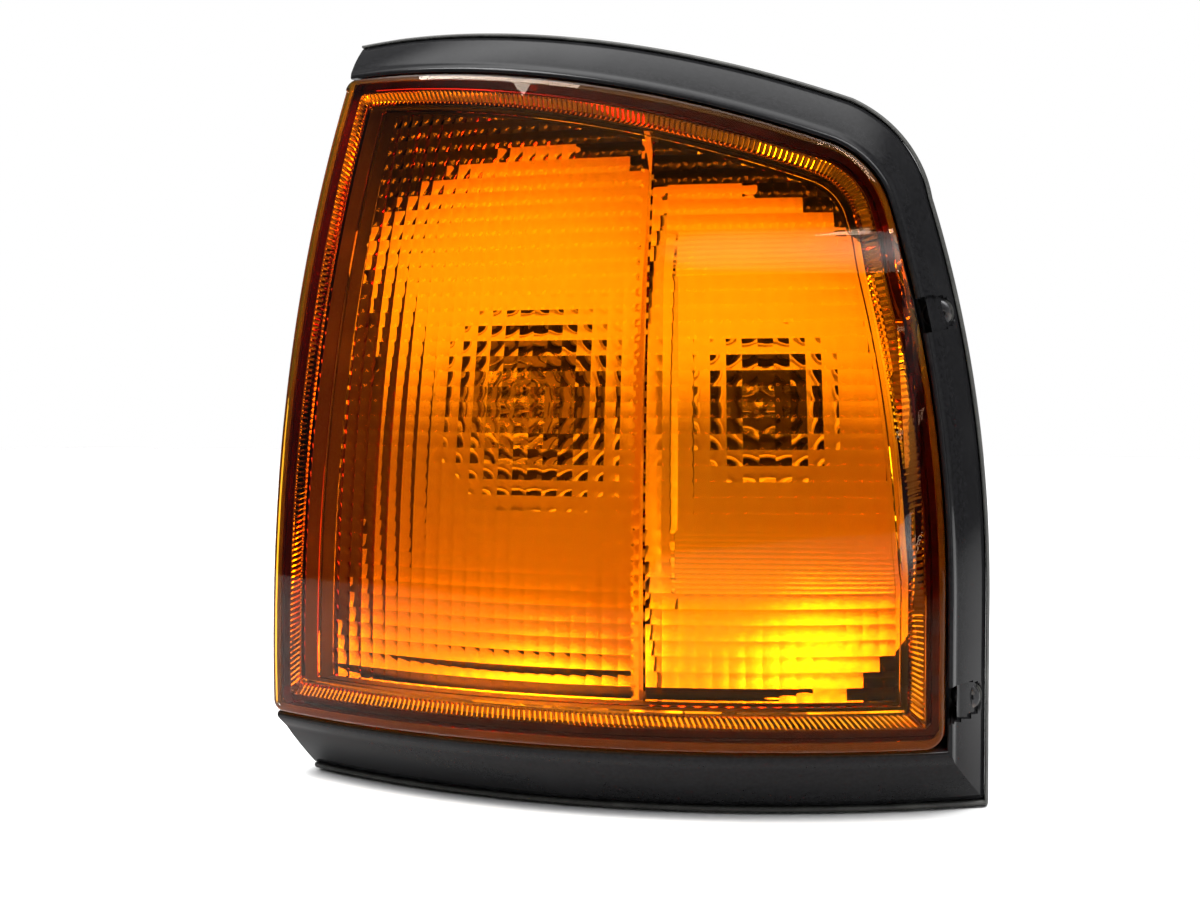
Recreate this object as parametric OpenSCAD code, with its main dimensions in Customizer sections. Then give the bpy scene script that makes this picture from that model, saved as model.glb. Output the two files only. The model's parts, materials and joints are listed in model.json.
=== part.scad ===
// Corner turn-signal lamp: an amber lens on a bucket housing, framed on three sides by a black trim.
// +Z is up, -Y is forward and +X is outboard. Lens, housing and trim follow one upright barrel surface
// that leans back towards its top. The origin is where the lower mounting screw leaves the housing.

/* [Lens] */
// Height of the lens
lens_h = 181; // [178:1:184]
// Distance from the barrel's centre plane to the outboard edge of the lens
side_x = 93.8; // [92:0.2:95]
// Radius of the barrel at the bottom of the lens
barrel_r = 243.5; // [240:0.5:248]
// How far the barrel leans back at the top, even part
lean_a = 28.2; // [26:0.2:30]
// How far the barrel leans back at the top, late part
lean_b = 6.5; // [5:0.5:8]
// Angle of the straight inner end round the barrel
inner_angle = 22.5; // [22:0.1:23]
// Thickness of the lens wall
lens_t = 3; // [2.5:0.1:3.5]
// Radius of the arched top edge
top_r = 430; // [410:5:450]
// Radius of the bowed outboard edge
side_r = 350; // [340:5:360]
// Radius of the upper outboard corner
corner_r = 26; // [22:1:30]
// Radius of the lower outboard corner
foot_r = 5; // [3:0.5:6]

/* [Trim] */
// Width of the trim below the lens
reach_bottom = 19; // [17:0.5:20]
// Width of the trim outboard of the lens
reach_side = 10.5; // [10:0.5:12]
// Width of the trim above the lens
reach_top = 14.5; // [13:0.5:16]
// Gap between the lens and the trim
trim_gap = 0.6; // [0.4:0.1:0.8]
// Radius of a mounting screw's shank
screw_r = 2.4; // [2:0.1:2.6]
// Free length of a mounting screw behind the housing
screw_free = 16; // [12:1:20]

/* [Housing] */
// Wall thickness of the housing
wall = 3; // [2.5:0.25:3.5]
// Depth of the back wall behind the foot of the lens
depth = 68.5; // [66:0.5:70]
// Radius of a locating peg
peg_r = 4; // [3.5:0.25:4.5]
// Length of a locating peg's straight part
peg_l = 11; // [9:1:13]

/* [Bulbs] */
// Sideways place of the turn-signal bulb
turn_x = -27; // [-30:0.5:-24]
// Sideways place of the side bulb
side_bulb_x = 43; // [40:0.5:45]
// Height of both bulbs above the foot of the lens
bulb_z = 85; // [82:0.5:88]
// Turn of a socket from locked to free, in degrees
twist = 45; // [40:1:50]

/* [Hidden] */
$fn = 48;

// Layers, as depths behind the outer skin of the lens
leg_end = 10;          // tip of the lens leg
channel_floor = 12.2;  // bottom of the housing channel
flange_front = 15;     // front of the housing flange
flange_back = 18;      // back of the housing flange
gasket_back = 21;      // back of the foam gasket
trim_back = 14.6;      // back edge of the trim
// Layers, as distances in from the outline
rim_in = 0.2;
channel_out = 1.8;
leg_out = 2.2;
leg_in = 5;
channel_in = 5.6;
rim_end = 8;
bucket_in = channel_in + wall;
reflector_in = bucket_in + 1;
reflector_skin = 14.5;
split_x = 16;          // plane between the two reflectors

back_y = depth - barrel_r;  // rear face of the back wall
top_c = [-85, lens_h - top_r];
side_c = [side_x - side_r, 35];

function polar(a) = [cos(a), sin(a)];
function along(a, b, n) = [for (i = [0:n]) a + (b - a) * i / n];
function blend(a, b, t) = a + (b - a) * t;
function bearing(p, q) = atan2(q[1] - p[1], q[0] - p[0]);
// Point at distance rp from p and rq from q, on the upper outboard side
function meet(p, rp, q, rq) =
    let (v = q - p, d = norm(v), a = (d * d + rp * rp - rq * rq) / (2 * d), h = sqrt(rp * rp - a * a))
    p + v * a / d + h * [v[1], -v[0]] / d;
corner_c = meet(top_c, top_r - corner_r, side_c, side_r - corner_r);
side_end = bearing(side_c, corner_c);
corner_end = bearing(top_c, corner_c);
top_end = 93;

function arc(c, r, a, b, n) = [for (t = along(a, b, n)) c + r * polar(t)];
// Outline of the lens seen from the front, grown by g; its inner end is left long
function outline(g) = concat(
    [[-120, lens_h + g], [-120, -g]],
    arc([side_x - foot_r, foot_r], max(foot_r + g, 0.01), -90, 0, 4),
    arc(side_c, side_r + g, 0, side_end, 4),
    arc(corner_c, corner_r + g, side_end, corner_end, 8),
    arc(top_c, top_r + g, corner_end, top_end, 8)
);

// Stations round the trim: place on the outline, outward direction and outward reach
function run(c, r, a, b, n, k0, k1) =
    [for (t = [1:n]) let (w = polar(blend(a, b, t / n))) [c + r * w, w, w * blend(k0, k1, t / n)]];
bottom_end = [[-92, 0], [0, -1], [8, -reach_bottom]];
inner_top = top_c + top_r * polar(89.3);
top_end_station = [inner_top, [0, 1], [-5, reach_top]];
stations = concat(
    [bottom_end],
    [for (x = along(-80, 84, 11)) [[x, 0], [0, -1], [0, -reach_bottom]]],
    [[[side_x, 0], [1, -1], [reach_side, -reach_bottom]]],
    [for (z = [10, 22, 35]) [[side_x, z], [1, 0], [reach_side, 0]]],
    run(side_c, side_r, 0, side_end, 7, reach_side, reach_side),
    run(corner_c, corner_r, side_end, corner_end, 9, reach_side, reach_top),
    run(top_c, top_r, corner_end, 88, 11, reach_top, reach_top),
    [top_end_station]
);
function spot(s, u, g) = s[0] + s[1] * g + s[2] * u;
function trim_outline(u) = [for (s = stations) spot(s, u, 0)];

// Radius of the barrel at height z and depth i behind the skin
function up(z) = max(z, 0) / 180;
function skin_r(z, i) = barrel_r - lean_a * pow(up(z), 2) - lean_b * pow(up(z), 3) - i;
function skin_y(x, z, i) = -sqrt(pow(skin_r(z, i), 2) - x * x);
function on_skin(p, i) = [p[0], skin_y(p[0], p[1], i), p[1]];

// Screws: [x, z] on the outline frame
screw_out = 4.7;
lower_screw = [side_x + screw_out, 11];
upper_screw = side_c + (side_r + screw_out) * polar(12.2);
mount_spots = [lower_screw, upper_screw];
boss_back = 3.5;    // a mounting boss starts this far behind the seat
boss_l = 8;         // and is this long
post_back = 2.5;    // a trim screw's boss starts this far behind the seat
post_l = 6.5;       // and is this long
trim_spots = [
    [-58, -9.1], [12, -9.1], [70, -9.1],
    top_c + (top_r + 7.5) * polar(88), top_c + (top_r + 7.5) * polar(79)
];
reflector_spots = [[-57, 40, 0], [-57, 128, 0], [-4, 34, 0], [40, 34, 1], [46, 132, 1]];
peg_spots = [[-57, 20], [-55, 152]];
vent_spot = [8, 20];
origin_at = [lower_screw[0], skin_y(lower_screw[0], lower_screw[1], flange_back) + boss_back, lower_screw[1]];

module placed() translate(-origin_at) children();
// A frame with its z axis forward and its zero on the rear face of the back wall
module at_back(x, z) translate([x, back_y, z]) rotate([90, 0, 0]) children();
// The same at a depth y
module facing(x, y, z) translate([x, y, z]) rotate([90, 0, 0]) children();

// Revolves a section of [radius, height] points across the front of the barrel
module sweep_round(section) rotate([0, 0, -130]) rotate_extrude(angle = 80) polygon(section);
heights = concat([-30], [for (z = [0:15:210]) z]);
function rise(i) = [for (z = heights) [skin_r(z, i), z]];
function fall(i) = [for (k = [len(heights) - 1:-1:0]) [skin_r(heights[k], i), heights[k]]];
// Everything behind the skin at depth i
module barrel(i) sweep_round(concat(rise(i), [[60, 210], [60, -30]]));
// Everything between depths a and b
module layer(a, b) sweep_round(concat(rise(a), fall(b)));
// Everything outboard of the inner end, moved in by a
module inner_end(a) rotate([0, 0, -inner_angle]) translate([a, -300, -60]) cube([300, 300, 300]);
// Everything inside the outline, moved in by a
module column(a) rotate([90, 0, 0]) linear_extrude(300) polygon(outline(-a));
// The same, and outboard of the inner end
module face(a) intersection() {
    column(a);
    inner_end(a);
}
module frame(a, b) difference() {
    face(a);
    face(b);
}
module trim_face(u) rotate([90, 0, 0]) linear_extrude(300) polygon(trim_outline(u));
module in_front_of(y) translate([-150, y - 300, -60]) cube([300, 300, 300]);
module tube(ro, ri, z0, z1) translate([0, 0, z0]) difference() {
    cylinder(r = ro, h = z1 - z0);
    translate([0, 0, -1]) cylinder(r = ri, h = z1 - z0 + 2);
}
module disc(r, z0, z1) translate([0, 0, z0]) cylinder(r = r, h = z1 - z0);
module block(x, y, z0, z1) translate([-x / 2, -y / 2, z0]) cube([x, y, z1 - z0]);

// A skin of four-sided facets swept round the trim stations; prof lists [reach share, gap, depth]
module sweep(prof) {
    n = len(prof);
    m = len(stations);
    pts = [for (s = stations) for (p = prof) on_skin(spot(s, p[0], p[1]), p[2])];
    sides = [for (i = [0:m - 2]) for (j = [0:n - 1]) let (k = (j + 1) % n)
        each [[i * n + j, (i + 1) * n + j, (i + 1) * n + k], [i * n + j, (i + 1) * n + k, i * n + k]]];
    ends = [[for (j = [0:n - 1]) j], [for (j = [n - 1:-1:0]) (m - 1) * n + j]];
    polyhedron(points = pts, faces = concat(sides, ends));
}

// The bulge in the outboard half of the lens, whose face is flatter than the barrel; i is the depth
bulge_tilt = 8.5;
bulge_turn = 8;
module bulge(i) {
    intersection() {
        translate([0, 0, 90])
            rotate([0, 0, bulge_turn])
                rotate([-bulge_tilt, 0, 0])
                    translate([-60, 1.2 - skin_r(90, i), -100])
                        cube([200, 60, 200]);
        rotate([90, 0, 0])
            linear_extrude(300)
                polygon(concat(
                    [[24, 126 - i], [24, 48 + i]],
                    arc([82 - i, 54 + i], 6, -90, 0, 4),
                    arc([72.5 - i, 116 - i], 8, 10, 90, 5)
                ));
        barrel(-8);
    }
}

module lens() placed() color([0.93, 0.42, 0.02, 0.8]) {
    difference() {
        union() {
            intersection() {
                face(0);
                layer(0, lens_t);
            }
            difference() {
                bulge(0);
                barrel(lens_t);
            }
            intersection() {
                frame(leg_out, leg_in);
                layer(lens_t - 0.5, leg_end);
            }
        }
        bulge(lens_t);
    }
}

module lens_seal() placed() color([0.12, 0.12, 0.12]) intersection() {
    frame(channel_out, channel_in);
    layer(leg_end, channel_floor);
}

// Ears that the lugs of a quarter-turn socket pass when it is free
module socket_hole(r, lug_r, count) {
    disc(r, -1, wall + 1);
    for (k = [0:count - 1])
        rotate(k * 360 / count - twist)
            sector(r - 1, lug_r + 0.4, 17, -1, wall + 1);
}
// Part of a ring, half_angle each side of its x axis
module sector(ri, ro, half_angle, z0, z1) translate([0, 0, z0])
    rotate(-half_angle) rotate_extrude(angle = 2 * half_angle) translate([ri, 0]) square([ro - ri, z1 - z0]);

turn_hole_r = 15.06;
turn_barrel_r = 15;
turn_lug_r = 18.5;
side_hole_r = 10.26;
side_barrel_r = 10.2;
side_lug_r = 13;

module housing() placed() color([0.09, 0.09, 0.1]) difference() {
    union() {
        intersection() {
            frame(rim_in, rim_end);
            layer(lens_t + 0.4, flange_front);
        }
        intersection() {
            face(channel_in);
            barrel(channel_floor);
            in_front_of(back_y);
        }
        intersection() {
            difference() {
                trim_face(0.78);
                column(channel_in + 1);
            }
            layer(flange_front, flange_back);
        }
        for (s = mount_spots) facing(s[0], seat_y(s) + boss_back, s[1]) disc(4.6, 0, boss_l);
        for (s = trim_spots) facing(s[0], seat_y(s) + post_back, s[1]) disc(4.2, 0, post_l);
        for (s = peg_spots) at_back(s[0], s[1]) {
            disc(peg_r, -peg_l, 1);
            translate([0, 0, -peg_l - 3]) cylinder(r1 = peg_r - 1.6, r2 = peg_r, h = 3);
            disc(peg_r + 3, -2, 1);
        }
        at_back(vent_spot[0], vent_spot[1]) disc(3.5, -9, 1);
        for (s = reflector_spots) at_back(s[0], s[1]) disc(4.6, -1.5, 1);
    }
    intersection() {
        frame(channel_out, channel_in);
        layer(lens_t, channel_floor);
    }
    intersection() {
        face(bucket_in);
        barrel(lens_t);
        in_front_of(back_y - wall);
    }
    at_back(turn_x, bulb_z) socket_hole(turn_hole_r, turn_lug_r, 3);
    at_back(side_bulb_x, bulb_z) socket_hole(side_hole_r, side_lug_r, 2);
    at_back(vent_spot[0], vent_spot[1]) disc(1.8, -10, wall + 1);
    for (s = mount_spots) facing(s[0], 0, s[1]) disc(screw_r + 0.4, 100, 260);
    for (s = trim_spots) facing(s[0], 0, s[1]) disc(1.75, 100, 260);
    difference() {
        union() {
            for (s = mount_spots) facing(s[0], boss_front(s), s[1]) disc(6.2, 0, 12);
            for (s = trim_spots) facing(s[0], post_front(s), s[1]) disc(4.4, 0, 12);
        }
        column(0);
    }
    for (s = reflector_spots) at_back(s[0], s[1]) disc(1.75, -3, wall + 1);
}

// Parabolic bowl, of focal length f, open in the middle
module bowl(f, hole, vertex, t) {
    radii = [for (r = [hole:8:hole + 96]) r];
    rotate_extrude()
        polygon(concat(
            [for (r = radii) [r, vertex + r * r / (4 * f)]],
            [for (k = [len(radii) - 1:-1:0]) [radii[k], vertex + t + pow(radii[k], 2) / (4 * f)]]
        ));
}
bowl_t = 1.8;
turn_focus = 60;
side_focus = 48;
turn_vertex = 6;
side_vertex = 11;

module reflector_legs(which, focus, vertex, cx) for (s = reflector_spots) if (s[2] == which) {
    r = norm([s[0] - cx, s[1] - bulb_z]);
    at_back(s[0], s[1]) difference() {
        disc(3.6, wall, vertex + 1 + r * r / (4 * focus));
        disc(1.5, wall - 1, wall + 7);
    }
}

module main_reflector() placed() color([0.86, 0.86, 0.88]) {
    intersection() {
        union() {
            at_back(turn_x, bulb_z) {
                bowl(turn_focus, 22, turn_vertex, bowl_t);
                tube(24, 22, wall, turn_vertex + 3);
            }
            reflector_legs(0, turn_focus, turn_vertex, turn_x);
            translate([split_x - 1.8, -260, 0]) cube([1.6, 260 + back_y - 12, lens_h]);
        }
        face(reflector_in);
        barrel(reflector_skin);
        translate([-150, -300, -60]) cube([150 + split_x - 0.2, 300, 300]);
    }
}
module side_reflector() placed() color([0.86, 0.86, 0.88]) {
    intersection() {
        union() {
            at_back(side_bulb_x, bulb_z) {
                bowl(side_focus, 15, side_vertex, bowl_t);
                tube(17, 15, wall, side_vertex + 2);
            }
            reflector_legs(1, side_focus, side_vertex, side_bulb_x);
        }
        face(reflector_in);
        barrel(reflector_skin);
        translate([split_x + 0.2, -300, -60]) cube([150, 300, 300]);
    }
}

// The trim steps back from its crest to its lip: [inner share, outer share, front depth]
trim_steps = [[0, 0.25, 1], [0.25, 0.5, 3.5], [0.5, 0.7, 6.5], [0.7, 0.9, 9.6]];
step_t = 5;
module trim() placed() color([0.05, 0.05, 0.055]) difference() {
    union() {
        for (k = trim_steps) intersection() {
            difference() {
                trim_face(k[1]);
                column(-trim_gap);
                if (k[0] > 0) trim_face(k[0]);
            }
            layer(k[2], k[2] + step_t);
        }
        intersection() {
            difference() {
                column(-2.6);
                column(-trim_gap);
            }
            trim_face(0.3);
            layer(2, trim_back);
        }
        for (s = trim_spots) facing(s[0], post_front(s), s[1]) disc(3.8, 0, 5.4);
        intersection() {
            difference() {
                for (s = mount_spots) facing(s[0], boss_front(s), s[1]) disc(5.9, 0, 9);
                column(-trim_gap);
            }
            trim_face(0.9);
        }
    }
    for (s = mount_spots) mount_room(s);
    for (s = trim_spots) facing(s[0], post_front(s), s[1]) {
        disc(4.4, -30, 0);
        disc(1.5, -1, 4.6);
    }
}
// Cross-section of the edge seal: [reach share, gap, depth behind the skin]
seal_profile = [
    [0.905, 0, 10.9], [0.965, 0, 10.6], [1, 0, 12.6], [1, 0, 16.5], [0.905, 0, 15.5]
];
// Along y: the seat a screw pulls on, and the front faces of the two kinds of boss
function seat_y(s) = skin_y(s[0], s[1], flange_back);
function boss_front(s) = seat_y(s) + boss_back - boss_l;
function post_front(s) = seat_y(s) + post_back - post_l;
// Room for the housing's boss, the shank and the head
module mount_room(s) {
    facing(s[0], boss_front(s), s[1]) {
        disc(5.8, -30, 0);
        disc(screw_r + 0.4, -1, 30);
        disc(4.4, 2, 42);
    }
}

module edge_seal() placed() color([0.1, 0.1, 0.09]) sweep(seal_profile);

module mounting_screws() placed() color([0.06, 0.06, 0.06]) for (s = mount_spots) {
    facing(s[0], seat_y(s) + boss_back, s[1]) difference() {
        union() {
            disc(screw_r, -screw_free, 0);
            disc(screw_r - 0.2, 0, 11);
            disc(3.7, 11, 13.6);
        }
        block(4.2, 1, 12, 14);
        block(1, 4.2, 12, 14);
    }
}
module screw_washers() placed() color([0.12, 0.12, 0.12]) for (s = mount_spots) {
    facing(s[0], seat_y(s) + boss_back, s[1]) tube(4.1, screw_r + 0.1, 10, 11);
}
module trim_screws() placed() color([0.75, 0.75, 0.72]) for (s = trim_spots) {
    facing(s[0], seat_y(s) + post_back, s[1]) small_screw(10.5);
}
module reflector_screws() placed() color([0.75, 0.75, 0.72]) for (s = reflector_spots) {
    facing(s[0], back_y + 1.5, s[1]) small_screw(10);
}
module small_screw(l) difference() {
    union() {
        disc(1.5, 0, l);
        disc(3.2, -2.2, 0);
    }
    block(3.6, 0.8, -3, -1.2);
    block(0.8, 3.6, -3, -1.2);
}

module body_gasket() placed() color([0.2, 0.2, 0.2]) difference() {
    intersection() {
        difference() {
            trim_face(0.7);
            column(channel_in - 0.6);
        }
        inner_end(4);
        layer(flange_back, gasket_back);
    }
    for (s = mount_spots) facing(s[0], 0, s[1]) disc(6.2, 100, 260);
    for (s = trim_spots) facing(s[0], 0, s[1]) disc(4.6, 100, 260);
}

module vent_cap() placed() color([0.13, 0.13, 0.13]) at_back(vent_spot[0], vent_spot[1]) difference() {
    union() {
        disc(5.5, -12, -2);
        translate([0, 0, -8.5]) rotate([90, 0, 0]) cylinder(r = 3, h = 13);
    }
    disc(3.5, -9, -1);
    disc(2, -10.5, -8);
    translate([0, 0, -8.5]) rotate([90, 0, 0]) cylinder(r = 1.8, h = 14);
}

// Turn-signal socket and bulb, built on the socket axis
module turn_socket() placed() color([0.3, 0.3, 0.31]) at_back(turn_x, bulb_z) difference() {
    union() {
        disc(20, -6, -2);
        disc(turn_barrel_r, -6, 11);
        for (k = [0:2]) rotate(k * 120) sector(14, turn_lug_r, 14, wall + 0.15, wall + 2.3);
        disc(13, -24, -6);
        block(20, 14, -40, -20);
        block(36, 3.6, -19, -6);
    }
    disc(9.4, -3, 12);
    disc(8.32, -17, -2);
    disc(3.2, -25, -16);
    block(16, 10, -41, -26);
    for (s = [-1, 1]) translate([s * 5, 0, 0]) block(0.8, 6.3, -27, -20);
}
module turn_socket_seal() placed() color([0.08, 0.08, 0.08]) at_back(turn_x, bulb_z)
    tube(19.4, turn_barrel_r, -2, -0.05);
// Sleeve with two J-shaped slots for the bulb's pins
module turn_shell() placed() color([0.8, 0.68, 0.35]) at_back(turn_x, bulb_z) difference() {
    tube(8.3, 7.62, -15, 9.5);
    for (k = [0, 180]) rotate(k) {
        translate([7, -1.2, 0.8]) cube([2, 2.4, 5.2]);
        sector(7, 9, 1, 0.8, 3.2);
        rotate(15) sector(7, 9, 18, 0.8, 3.2);
        rotate(30) translate([7, -1.2, 0.8]) cube([2, 2.4, 10]);
    }
}
module contact_insulator() placed() color([0.35, 0.18, 0.08]) at_back(turn_x, bulb_z)
    tube(8.3, 1.5, -17, -15);
module turn_terminals() placed() color([0.85, 0.82, 0.7]) at_back(turn_x, bulb_z)
    for (s = [-1, 1]) translate([s * 5, 0, 0]) block(0.8, 6.3, -38, -20);
module contact_plunger() placed() color([0.85, 0.68, 0.3]) at_back(turn_x, bulb_z) {
    disc(5, -11.5, -10.3);
    disc(1.44, -20, -11.5);
}
// Coil spring under the contact plate
module contact_spring() placed() color([0.7, 0.7, 0.72]) at_back(turn_x, bulb_z)
    coil(3.4, 0.3, 3, -14.7, -11.8);
module coil(r, wire, turns, z0, z1) {
    sides = 6;
    steps = turns * 16;
    pts = [for (i = [0:steps]) for (j = [0:sides - 1])
        let (a = 22.5 * i, b = j * 360 / sides, q = r + wire * cos(b))
        [q * cos(a), q * sin(a), blend(z0, z1, i / steps) + wire * sin(b)]];
    skin = [for (i = [0:steps - 1]) for (j = [0:sides - 1]) let (k = (j + 1) % sides, m = i * sides)
        each [[m + j, m + k, m + sides + k], [m + j, m + sides + k, m + sides + j]]];
    ends = [[for (j = [sides - 1:-1:0]) j], [for (j = [0:sides - 1]) steps * sides + j]];
    polyhedron(points = pts, faces = concat(skin, ends));
}
module turn_bulb_cap() placed() color([0.8, 0.7, 0.45]) at_back(turn_x, bulb_z) {
    tube(7.5, 6.8, -8, 10);
    for (s = [-1, 1]) translate([s * 7.2, 0, 4.8]) rotate([0, s * 90, 0]) cylinder(r = 1, h = 1.8);
}
module turn_bulb_contact() placed() color([0.15, 0.15, 0.15]) at_back(turn_x, bulb_z) {
    disc(6.8, -9, -7);
    disc(2, -10.3, -9);
}
bulb_r = 13.25;
bulb_c = 26;
module turn_bulb_glass() placed() color([0.9, 0.9, 0.92, 0.5]) at_back(turn_x, bulb_z) difference() {
    union() {
        translate([0, 0, bulb_c]) sphere(r = bulb_r);
        disc(6.8, 2, bulb_c);
    }
    translate([0, 0, bulb_c]) sphere(r = bulb_r - 0.8);
    disc(6, 5, bulb_c);
}
module turn_filament() placed() color([0.7, 0.7, 0.7]) at_back(turn_x, bulb_z) {
    disc(2.2, 5, 11);
    for (s = [-1, 1]) translate([s * 2.8, 0, 0]) disc(0.35, 8.2, 25);
    translate([0, 0, 8.2]) block(6.4, 1.2, 0, 0.8);
    translate([-3.4, 0, 25.3]) rotate([0, 90, 0]) cylinder(r = 0.5, h = 6.8);
}

// Side socket and wedge bulb, built on the socket axis
module side_socket() placed() color([0.07, 0.07, 0.075]) at_back(side_bulb_x, bulb_z) difference() {
    union() {
        disc(14, -5, -1.5);
        disc(side_barrel_r, -5, 13);
        for (k = [0, 180]) rotate(k) sector(9, side_lug_r, 14, wall + 0.15, wall + 2.2);
        disc(9.5, -16, -5);
        block(16, 12, -30, -12);
        block(26, 3.2, -15, -5);
    }
    block(10.2, 5, 5, 14);
    block(12, 8, -31, -17);
    for (s = [-1, 1]) translate([s * 3, 1.7 * s, 0]) block(2.8, 0.5, -18, 6);
}
module side_socket_seal() placed() color([0.08, 0.08, 0.08]) at_back(side_bulb_x, bulb_z)
    tube(13.5, side_barrel_r, -1.5, -0.05);
module side_contacts() placed() color([0.85, 0.7, 0.35]) at_back(side_bulb_x, bulb_z)
    for (s = [-1, 1]) translate([s * 3, 1.7 * s, 0]) block(2.8, 0.5, -28, 11);
module side_bulb_glass() placed() color([0.9, 0.9, 0.92, 0.5]) at_back(side_bulb_x, bulb_z) difference() {
    union() {
        block(9.6, 2.4, 6, 14);
        disc(5.1, 13.4, 27);
        translate([0, 0, 27]) sphere(r = 5.1);
    }
    disc(4.4, 15, 27);
    translate([0, 0, 27]) sphere(r = 4.4);
}
module side_filament() placed() color([0.7, 0.7, 0.7]) at_back(side_bulb_x, bulb_z) {
    for (s = [-1, 1]) translate([s * 2, 0, 0]) disc(0.25, 15, 24);
    translate([-2.3, 0, 24.2]) rotate([0, 90, 0]) cylinder(r = 0.35, h = 4.6);
}

lens();
lens_seal();
housing();
main_reflector();
side_reflector();
trim();
edge_seal();
mounting_screws();
screw_washers();
trim_screws();
reflector_screws();
body_gasket();
vent_cap();
turn_socket();
turn_socket_seal();
turn_shell();
contact_insulator();
turn_terminals();
contact_plunger();
contact_spring();
turn_bulb_cap();
turn_bulb_contact();
turn_bulb_glass();
turn_filament();
side_socket();
side_socket_seal();
side_contacts();
side_bulb_glass();
side_filament();
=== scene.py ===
"""Looks of the corner turn-signal lamp: an amber lens with pillow optics over two metallised reflectors, in a
gloss black trim, with its bulbs, sockets and screws. Lengths of the lamp are in millimetres until place() turns
them into the frame's metres. Those of the floor, the lights and the camera are in metres."""
import json
import math

import bmesh
import bpy
from mathutils import Matrix, Vector


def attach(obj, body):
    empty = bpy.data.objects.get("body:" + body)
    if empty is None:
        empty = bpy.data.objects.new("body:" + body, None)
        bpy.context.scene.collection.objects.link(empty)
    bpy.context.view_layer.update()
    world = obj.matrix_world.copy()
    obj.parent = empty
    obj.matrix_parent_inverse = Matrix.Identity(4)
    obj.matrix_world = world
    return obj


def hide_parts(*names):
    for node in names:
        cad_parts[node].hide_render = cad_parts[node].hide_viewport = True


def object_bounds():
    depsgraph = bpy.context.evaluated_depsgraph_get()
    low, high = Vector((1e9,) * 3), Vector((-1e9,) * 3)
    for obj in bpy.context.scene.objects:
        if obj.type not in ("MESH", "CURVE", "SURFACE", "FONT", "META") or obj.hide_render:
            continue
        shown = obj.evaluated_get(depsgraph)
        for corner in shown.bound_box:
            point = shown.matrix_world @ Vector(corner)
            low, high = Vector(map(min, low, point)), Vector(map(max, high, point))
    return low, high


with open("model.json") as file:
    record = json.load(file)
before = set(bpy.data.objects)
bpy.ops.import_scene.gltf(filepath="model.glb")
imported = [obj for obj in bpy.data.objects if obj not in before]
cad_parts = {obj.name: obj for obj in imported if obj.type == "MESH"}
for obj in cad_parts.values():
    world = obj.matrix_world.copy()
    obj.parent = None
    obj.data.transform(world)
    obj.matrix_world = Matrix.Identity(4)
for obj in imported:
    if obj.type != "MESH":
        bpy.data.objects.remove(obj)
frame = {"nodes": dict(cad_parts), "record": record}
cad_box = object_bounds()

# ---------------------------------------------------------------- the barrel that lens, housing and trim follow
BARREL_R, LEAN_A, LEAN_B = 243.5, 28.2, 6.5
LENS_H = 181.0
SIDE_X = 93.8
END_ANGLE = math.radians(22.5)
TOP_R, SIDE_R, CORNER_R, FOOT_R = 430.0, 350.0, 26.0, 5.0
TOP_C = Vector((-85.0, LENS_H - TOP_R))
SIDE_C = Vector((SIDE_X - SIDE_R, 35.0))
SCREW_OUT = 4.7
FLANGE_BACK = 18.0
BACK_Y = 68.5 - BARREL_R
WALL = 3.0
SCREW_SEAT = 3.5
LOW_SCREW_Z = 11.0


def skin_r(z, depth=0.0):
    """Radius of the barrel at a height: it leans back towards the top."""
    t = max(z, 0.0) / 180.0
    return BARREL_R - LEAN_A * t * t - LEAN_B * t ** 3 - depth


def skin_y(x, z, depth=0.0):
    """Where a depth below the barrel's face is, front to back."""
    return -math.sqrt(skin_r(z, depth) ** 2 - x * x)


ORIGIN = Vector((SIDE_X + SCREW_OUT, 0.0, LOW_SCREW_Z))
ORIGIN.y = skin_y(ORIGIN.x, ORIGIN.z, FLANGE_BACK) + SCREW_SEAT


def place(x, y, z):
    """A point of the barrel's own frame, as a point of the part's frame in metres."""
    return (Vector((x, y, z)) - ORIGIN) / 1000.0


def polar(angle):
    """Unit vector at an angle."""
    return Vector((math.cos(angle), math.sin(angle)))


def blend(a, b, t):
    return a + (b - a) * t


def smooth(t, a, b):
    """0 before a, 1 after b, and an even rise between them."""
    t = min(max((t - a) / (b - a), 0.0), 1.0)
    return t * t * (3 - 2 * t)


def meet(p, rp, q, rq):
    """Where the circles round p and q cross, on the right of the way from p to q."""
    v = q - p
    d = v.length
    a = (d * d + rp * rp - rq * rq) / (2 * d)
    h = math.sqrt(rp * rp - a * a)
    return p + v * (a / d) + Vector((v.y, -v.x)) * (h / d)


CORNER_C = meet(TOP_C, TOP_R - CORNER_R, SIDE_C, SIDE_R - CORNER_R)
SIDE_END = math.atan2(CORNER_C.y - SIDE_C.y, CORNER_C.x - SIDE_C.x)
CORNER_END = math.atan2(CORNER_C.y - TOP_C.y, CORNER_C.x - TOP_C.x)


# ---------------------------------------------------------------- mesh helpers
def mesh_piece(name, skin, body, material, replaces, sharp, cavity=None):
    """A smooth-shaded piece from a Skin; sharp is the crease angle in degrees. Its skins face outward, except the
    faces in the range cavity, which line a hollow."""
    mesh = bpy.data.meshes.new(name)
    mesh.from_pydata(skin.points, [], skin.faces)
    shape = bmesh.new()
    shape.from_mesh(mesh)
    bmesh.ops.recalc_face_normals(shape, faces=shape.faces)
    if cavity is not None:
        shape.faces.ensure_lookup_table()
        bmesh.ops.reverse_faces(shape, faces=[shape.faces[k] for k in range(*cavity)])
    shape.to_mesh(mesh)
    shape.free()
    mesh.update()
    piece = bpy.data.objects.new(name, mesh)
    bpy.context.scene.collection.objects.link(piece)
    mesh.shade_smooth()
    mesh.set_sharp_from_angle(angle=math.radians(sharp))
    mesh.materials.append(material)
    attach(piece, body)
    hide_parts(replaces)


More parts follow.
